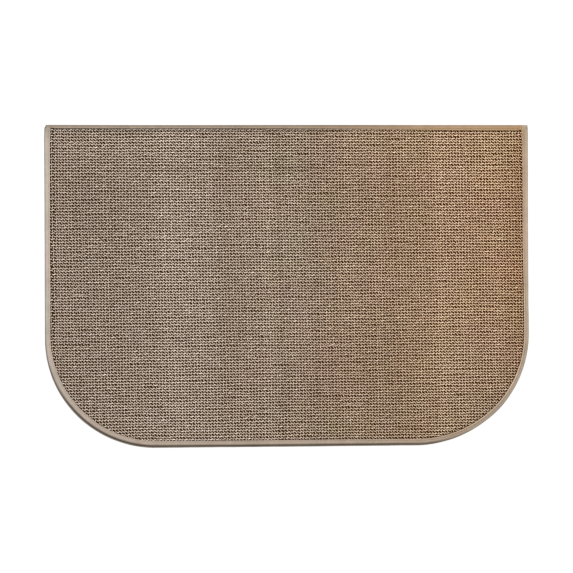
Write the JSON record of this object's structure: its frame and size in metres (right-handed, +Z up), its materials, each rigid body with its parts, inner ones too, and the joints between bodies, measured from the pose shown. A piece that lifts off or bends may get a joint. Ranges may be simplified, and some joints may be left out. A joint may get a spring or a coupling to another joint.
{
  "type": "doormat",
  "caption": "Flat-woven doormat of thick yarn with one straight long side, large rounded corners on the other, and fabric tape folded over the whole edge.",
  "frame": {"origin": "middle of the bounding box in X and Y, on the underside that lies on the floor", "axes": "+X along the mat's long sides, +Y towards the straight long side, +Z up out of the tread"},
  "size_m": [0.762, 0.508, 0.0064],
  "materials": {
    "woven_yarn": "matte thick flat-woven yarn, light taupe crests over dark brown gaps, warmer tan towards the right end",
    "binding_tape": "matte beige woven tape, sewn with thread of the same colour",
    "back_tape": "matte brown-beige woven tape, tan towards the right end"
  },
  "bodies": {
    "root": {"woven_panel": "woven_yarn", "edge_binding": "binding_tape", "back_binding": "back_tape"}
  },
  "joints": []
}
